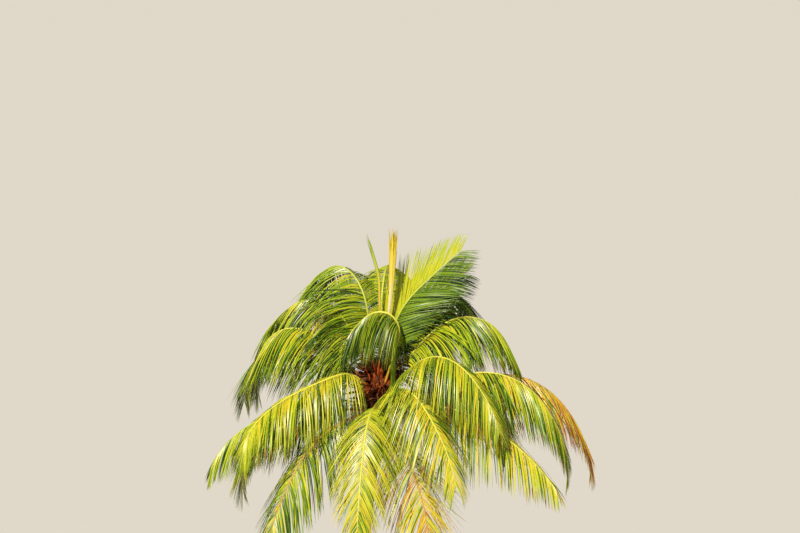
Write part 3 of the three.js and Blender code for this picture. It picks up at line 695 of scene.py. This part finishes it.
# Painted shade: the cloth is darker than the sheath fibre, to fill the gaps between the stalks with shade
sheathCloth = fibreMaterial("sheathCloth", [(0.3, "#2c170c"), (0.46, "#5c3015"), (0.6, "#8c4d21"),
                                            (0.78, "#bd7b3a")], evenly)
# Painted light: the flames are brighter than the torn fibre is, standing in for sun where the curtain of
# leaf_08 shades them
tornFibre = fibreMaterial("tornSheathFibre", [(0.3, "#a4340e"), (0.46, "#e25a18"), (0.6, "#f5802c"),
                                              (0.78, "#fcb768")], upright)
looseFibre = fibreMaterial("looseFibre", [(0.3, "#40270f"), (0.5, "#7a4a22"), (0.7, "#b0793c")], evenly)
points, quads = heartSkin()
makePiece("heart_sheath", points, quads, [heartFibre], ["crown_heart"], sharp=60)

fibres = {"count": 340, "length": (0.10, 0.34), "radius": 0.0022, "segments": 6, "feet": (-0.5, 0.42),
          "sunk": 0.015, "bow": (0.2, 1.0), "sideways": 0.5}


def looseFibres():
    # Threads of the leaf bases leave the heart, stand out and turn down.
    # spine(t) = start + length * (t * (out * 0.7 + sideways + up * 0.35) - up * 1.3 * bow * t ** 2)
    rng = np.random.default_rng(23)
    count = fibres["count"]
    turn = rng.uniform(0, 2 * np.pi, count)
    z = rng.uniform(*fibres["feet"], count)
    radius = np.interp(z, heartHeights, heartRadii) - fibres["sunk"]
    out = np.stack([np.cos(turn), np.sin(turn), np.zeros(count)], -1)
    start = heart + out * radius[:, None] + up * z[:, None]
    length = rng.uniform(*fibres["length"], count)
    bow = rng.uniform(*fibres["bow"], count)
    sideways = np.cross(up, out) * rng.normal(0, fibres["sideways"], count)[:, None]
    t = np.linspace(0, 1, fibres["segments"] + 1)[None, :, None]
    rise = t * (out * 0.7 + sideways + up * 0.35)[:, None]
    spines = start[:, None] + length[:, None, None] * (rise - up * (bow[:, None, None] * t ** 2 * 1.3))
    radii = fibres["radius"] * np.broadcast_to(1 - 0.7 * t[..., 0], (count, fibres["segments"] + 1))
    return tubeSkin(spines, radii, 4)


# Torn sheaths: flames stand round the top of the heart, cloth fills the room between the leaf stalks. The
# flames are painted light, brighter than the fibre is so that they look sunlit where the curtain of leaf_08
# shades them, and the dark cloth is painted shade in the gaps.
flaps = {
    "heart_flames": dict(count=46, length=(0.26, 0.5), halfWidth=(0.026, 0.055), low=-0.36, high=0.34,
                         lean=(0.1, 0.75), fall=-0.02, seed=31, look=tornFibre),
    "heart_cloth": dict(count=210, length=(0.2, 0.66), halfWidth=(0.025, 0.07), low=-0.52, high=0.42,
                        lean=(0.25, 1.35), fall=0.35, seed=37, look=sheathCloth),
}
# What both kinds have. curl and fold are a mean and how far it strays.
torn = {"sunk": 0.02, "stations": 13, "turnStray": 0.15, "curl": (0.1, 0.14), "sideways": 0.16,
        "twist": 0.8, "ragged": 0.14, "fold": (0.45, 0.3), "ridge": 0.003,
        "widthPlaces": (0, 0.3, 0.75, 1), "widthShares": (0.9, 1, 0.5, 0.04)}


def tornFlaps(kind):
    # Pointed strips that start in the heart, lean out of it and curl, twist and fray on the way.
    # spine(t) = start + length * (t * (up * cos(lean) + out * sin(lean) + sideways) + out * curl * t ** 2.5
    # - up * fall * t ** 2)
    rng = np.random.default_rng(kind["seed"])
    count = kind["count"]
    turn = np.arange(count) * goldenTurn + rng.normal(0, torn["turnStray"], count)
    z = rng.uniform(kind["low"], kind["high"], count)
    radius = np.interp(z, heartHeights, heartRadii) - torn["sunk"]
    out = np.stack([np.cos(turn), np.sin(turn), np.zeros(count)], -1)
    start = heart + out * radius[:, None] + up * z[:, None]
    lean = rng.uniform(*kind["lean"], count)[:, None]
    curl = rng.normal(*torn["curl"], count)[:, None]
    length = rng.uniform(*kind["length"], count)
    t = np.linspace(0, 1, torn["stations"])
    sideways = np.cross(up, out)
    first = up * np.cos(lean) + out * np.sin(lean)
    first = first + sideways * rng.normal(0, torn["sideways"], count)[:, None]
    bend = (curl * t ** 2.5)[..., None] * out[:, None] - (kind["fall"] * t ** 2)[:, None] * up
    spines = start[:, None] + length[:, None, None] * (t[:, None] * first[:, None] + bend)
    way = unit(np.gradient(spines, axis=1))
    twist = rng.normal(0, torn["twist"], count)[:, None] * t
    level = sideways[:, None]
    flat = unit(level - (level * way).sum(-1, keepdims=True) * way)
    wide = flat * np.cos(twist)[..., None] + np.cross(way, flat) * np.sin(twist)[..., None]
    ragged = 1 + torn["ragged"] * np.sin(t * rng.uniform(20, 40, count)[:, None] + turn[:, None])
    taper = np.interp(t, torn["widthPlaces"], torn["widthShares"])
    half = rng.uniform(*kind["halfWidth"], count)[:, None] * taper * ragged
    folds = np.broadcast_to(rng.normal(*torn["fold"], count)[:, None], half.shape)
    return bladeSkin(spines, wide, np.cross(wide, way), half, folds, torn["ridge"], True)


for name, kind in flaps.items():
    points, quads, uv = tornFlaps(kind)
    makePiece(name, points, quads, [kind["look"]], ["crown_heart"], None, uv, sharp=50)
points, quads = looseFibres()
makePiece("heart_threads", points, quads, [looseFibre], ["crown_heart"])
print("heart done")

# The two unopened leaves. fan and gather shape the cone that their blades fill:
# reach = tan(fan) * length * u ** gather
spears = {
    "spear_tall": dict(heading=352, rise=82, bend=-6, length=2.82, offAxis=0.06, seat=0.43, tipDroop=0,
                       blades=42, fan=2.2, gather=1.9, halfWidth=0.021),
    "spear_young": dict(heading=170, rise=90, bend=16, bendAt=0.66, bendSpan=0.1, length=2.7, offAxis=-0.03,
                        seat=0.43, tipDroop=0, blades=18, fan=0.85, gather=1.5, halfWidth=0.015),
}
spearBlade = {"stations": 19, "ends": (0.84, 1.0), "flick": 0.05, "footReach": 0.012, "fold": 16,
              "ridge": 0.004, "widthPlaces": (0, 0.3, 0.8, 0.92, 1), "widthShares": (0.55, 0.7, 1, 0.7, 0.05)}


def spearSkin(row, rng):
    # Folded blades side by side. Each keeps its own place in a cone that opens towards the top, and they end
    # at different heights, so that the top is frayed.
    count = row["blades"]
    stations = np.linspace(0, 1, spearBlade["stations"])
    ends = rng.uniform(*spearBlade["ends"], count)
    u = ends[:, None] * stations
    place, along, side, over = onRib(ribPath(row), u)
    turn = np.arange(count) * goldenTurn
    out = np.sqrt((np.arange(count) + 0.5) / count)[:, None]
    flick = spearBlade["flick"] * rng.normal(0, 1, count)[:, None] * np.clip(stations - 0.8, 0, 1) ** 1.5
    reach = math.tan(math.radians(row["fan"])) * row["length"] * u ** row["gather"] * out
    reach = reach + spearBlade["footReach"] * out * (1 - u) + flick
    outward = side * np.cos(turn)[:, None, None] + over * np.sin(turn)[:, None, None]
    half = row["halfWidth"] * np.interp(stations, spearBlade["widthPlaces"], spearBlade["widthShares"])
    half = np.broadcast_to(half, u.shape)
    across = np.cross(along, outward)
    return bladeSkin(place + outward * reach[..., None], across, np.cross(across, along), half,
                     np.full(half.shape, math.radians(spearBlade["fold"])), spearBlade["ridge"], True)


# Unopened leaf: the leaflets still folded in a sheath of wax, satin, straw yellow over a pale stalk
spearStreaks = {"roughness": 0.42, "streak": (33.3, 33.3, 667), "shift": 0.2, "depth": 0.004}  # streak in mm


def spearMaterial(name, stops, length):
    # The colour follows the share along the spear, strayed by tall streaks, which also stand up a little
    material, tree, shader = newMaterial(name, stops[1][1], spearStreaks["roughness"], IOR=1.47)
    surface = addNode(tree, "ShaderNodeUVMap", {"uv_map": "surface"})
    parts = addNode(tree, "ShaderNodeSeparateXYZ", links={"Vector": surface.outputs["UV"]})
    share = addNode(tree, "ShaderNodeMath", {"operation": "DIVIDE", 1: length}, {0: parts.outputs["Y"]})
    place = addNode(tree, "ShaderNodeTexCoord")
    stretch = {"Scale": perMetre(*spearStreaks["streak"])}
    tall = addNode(tree, "ShaderNodeMapping", stretch, {"Vector": place.outputs["Object"]})
    streaks = addNode(tree, "ShaderNodeTexNoise", {"Scale": 1.0, "Detail": 4.0},
                      {"Vector": tall.outputs["Vector"]})
    moved = strayedShare(tree, share.outputs["Value"], streaks.outputs["Fac"], spearStreaks["shift"])
    tree.links.new(colourRamp(tree, moved.outputs["Value"], stops), shader.inputs["Base Color"])
    bumpFrom(tree, shader, streaks.outputs["Fac"], 0.3, spearStreaks["depth"])
    return material


spearLooks = {
    "spear_tall": ("foldedStrawLeaf", [(0.0, "#c9a860"), (0.3, "#f1e6c8"), (0.5, "#f2dca0"),
                                       (0.66, "#f0d455"), (0.9, "#efd634"), (1.0, "#c3b12e")]),
    "spear_young": ("foldedLimeLeaf", [(0.0, "#b98440"), (0.3, "#e6b84c"), (0.6, "#dcc840"),
                                       (0.8, "#b4c234"), (1.0, "#7f9c22")]),
}
for name, row in spears.items():
    points, quads, uv = spearSkin(row, np.random.default_rng(len(name)))
    look = spearMaterial(*spearLooks[name], row["length"])
    makePiece(name + "_blades", points, quads, [look], [name], None, uv, sharp=30)

sheaths = {
    "flower_sheath_1": dict(heading=240, rise=78, seat=0.04, length=0.44),
    "flower_sheath_2": dict(heading=286, rise=74, seat=0.11, length=0.42),
    "flower_sheath_3": dict(heading=90, rise=60, seat=0.06, length=0.48),
}
pod = {"halfWidth": 0.046, "thickness": 0.55, "flutes": 11, "fluteDepth": 0.09, "bend": 8, "rings": 30,
       "sides": 44, "widthPlaces": (0, 0.3, 0.6, 0.8, 1), "widthShares": (0.45, 0.7, 1, 0.75, 0.02)}


def sheathSkin(row):
    # A ribbed pod: the half width along it swells to 46 mm and ends in a point, times
    # 1 - fluteDepth * cos(flutes * turn) ** 2 round it
    u = np.linspace(0, 1, pod["rings"])
    place, _, side, over = onRib(ribPath({**row, "bend": pod["bend"], "tipDroop": 0}), u)
    swell = pod["halfWidth"] * np.interp(u, pod["widthPlaces"], pod["widthShares"])
    turn = np.arange(pod["sides"]) / pod["sides"] * 2 * np.pi
    flutes = 1 - pod["fluteDepth"] * np.cos(pod["flutes"] * turn) ** 2
    across = swell[:, None] * np.cos(turn) * flutes
    height = swell[:, None] * pod["thickness"] * np.sin(turn) * flutes
    points = place[:, None] + side[:, None] * across[..., None] + over[:, None] * height[..., None]
    return points.reshape(-1, 3), ringQuads(1, pod["rings"], pod["sides"])


# Flower sheath: dead wood with fibres along it, matt, orange, painted brighter than the wood is as painted
# light where the leaf curtains shade the heart
woodySheath = fibreMaterial("woodyFlowerSheath", [(0.3, "#a83a12"), (0.48, "#dd641f"), (0.62, "#ee8c3c"),
                                                  (0.78, "#f4bf80")], upright)
for name, row in sheaths.items():
    points, quads = sheathSkin(row)
    makePiece(name + "_pod", points, quads, [woodySheath], [name], sharp=60)

stalks = {
    "flower_stalk_1": dict(heading=272, seat=0.01),
    "flower_stalk_2": dict(heading=242, seat=-0.17),
    "flower_stalk_3": dict(heading=132, seat=0.045),
    "flower_stalk_4": dict(heading=28, seat=-0.15),
}
strands = {"count": 22, "fan": 27, "length": 0.33, "radius": 0.0042, "rise": 44, "bend": 50, "bead": 0.45,
           "wander": 0.008, "stem": 0.42, "stemRadius": 0.02, "leaveAt": (0.45, 0.86)}


def stalkSkin(row, rng):
    # A round stem, and strands that leave it one after another and open in a cone, beaded along their length
    shape = {**row, "rise": strands["rise"], "tipDroop": 0}
    stem = ribPath({**shape, "bend": 0, "length": strands["stem"]})
    u = np.linspace(0, 1, 14)
    stemRadii = strands["stemRadius"] * np.interp(u, [0, 0.6, 1], [0.9, 1, 0.25])
    stemPoints, stemQuads = tubeSkin(onRib(stem, u)[0][None], stemRadii[None], 10)
    count = strands["count"]
    t = np.linspace(0, 1, 13)
    shared = ribPath({**shape, "bend": strands["bend"], "length": strands["length"]})
    course, _, side, over = onRib(shared, t)
    foot = onRib(stem, rng.uniform(*strands["leaveAt"], count))[0]
    turn = np.arange(count) * goldenTurn
    reach = np.tan(math.radians(strands["fan"])) * strands["length"] * rng.uniform(0.5, 1.0, count)
    outward = side * np.cos(turn)[:, None, None] + over * np.sin(turn)[:, None, None]
    wander = strands["wander"] * np.sin(t * rng.uniform(8, 16, count)[:, None] + turn[:, None])
    spines = (foot - course[0])[:, None] + course + outward * (reach[:, None] * t + wander)[..., None]
    beads = strands["radius"] * (1 - 0.75 * t ** 2) * (1 + strands["bead"] * (np.arange(t.size) % 2))
    strandPoints, strandQuads = tubeSkin(spines, np.broadcast_to(beads, (count, t.size)), 6)
    return np.vstack([stemPoints, strandPoints]), np.vstack([stemQuads, strandQuads + len(stemPoints)])


# Flower stalk: dried soft wood, matt, rust to straw
dryStalk = fibreMaterial("dryFlowerStalk", [(0.3, "#8a3a16"), (0.5, "#c9642a"), (0.75, "#e0a24c")], evenly)
for number, (name, row) in enumerate(stalks.items()):
    points, quads = stalkSkin(row, np.random.default_rng(50 + number))
    makePiece(name + "_strands", points, quads, [dryStalk], [name], sharp=60)
print("spears, sheaths and stalks done")

# Floor, light and camera. The floor is a matt pale board just under the trunk's cut.
studio = {"floorHalf": 400, "floorDrop": 0.002, "floorColour": "#cfccc6",
          "sunStrength": 4.6, "sunAngle": 3, "sunColour": "#fff8ec", "sunFrom": (-0.36, -0.74, 0.95),
          "skyColour": "#eef2f6", "skyStrength": 0.12}
floorMesh = bpy.data.meshes.new("floor")
corners = np.array([(-1, -1), (1, -1), (1, 1), (-1, 1)]) * studio["floorHalf"]
floorMesh.from_pydata([(x, y, -studio["floorDrop"]) for x, y in corners.tolist()], [], [(0, 1, 2, 3)])
floorMesh.materials.append(newMaterial("paleFloor", studio["floorColour"], 0.9)[0])
floor = bpy.data.objects.new("floor", floorMesh)
bpy.context.scene.collection.objects.link(floor)

world = bpy.data.worlds.new("studio")
bpy.context.scene.world = world
world.use_nodes = True
background = world.node_tree.nodes["Background"]
background.inputs["Color"].default_value = linear(studio["skyColour"])
background.inputs["Strength"].default_value = studio["skyStrength"]
sunData = bpy.data.lights.new("key", "SUN")
sunData.energy = studio["sunStrength"]
sunData.angle = math.radians(studio["sunAngle"])
sunData.color = linear(studio["sunColour"])[:3]
sun = bpy.data.objects.new("key", sunData)
bpy.context.scene.collection.objects.link(sun)
sun.rotation_euler = Vector(studio["sunFrom"]).to_track_quat("Z", "Y").to_euler()
bpy.context.scene.view_settings.view_transform = "Standard"

# The camera looks along +Y and down by elevation degrees. aim is how far the frame's middle lies right of
# the heart and above it, in the picture's own plane.
cameraView = {"elevation": 16, "distance": 57.7, "lens": 135, "aim": (0.42, 2.34)}
slope = math.radians(cameraView["elevation"])
viewWay = np.array([0, math.cos(slope), -math.sin(slope)])
pictureUp = np.array([0, math.sin(slope), math.cos(slope)])
aim = heart + np.array([1, 0, 0]) * cameraView["aim"][0] + pictureUp * cameraView["aim"][1]
cameraData = bpy.data.cameras.new("camera")
cameraData.lens = cameraView["lens"]
cameraData.clip_end = 1000
camera = bpy.data.objects.new("camera", cameraData)
camera.location = aim - viewWay * cameraView["distance"]
camera.rotation_euler = (math.radians(90) - slope, 0, 0)
bpy.context.scene.collection.objects.link(camera)
bpy.context.scene.camera = camera

print("stage done")
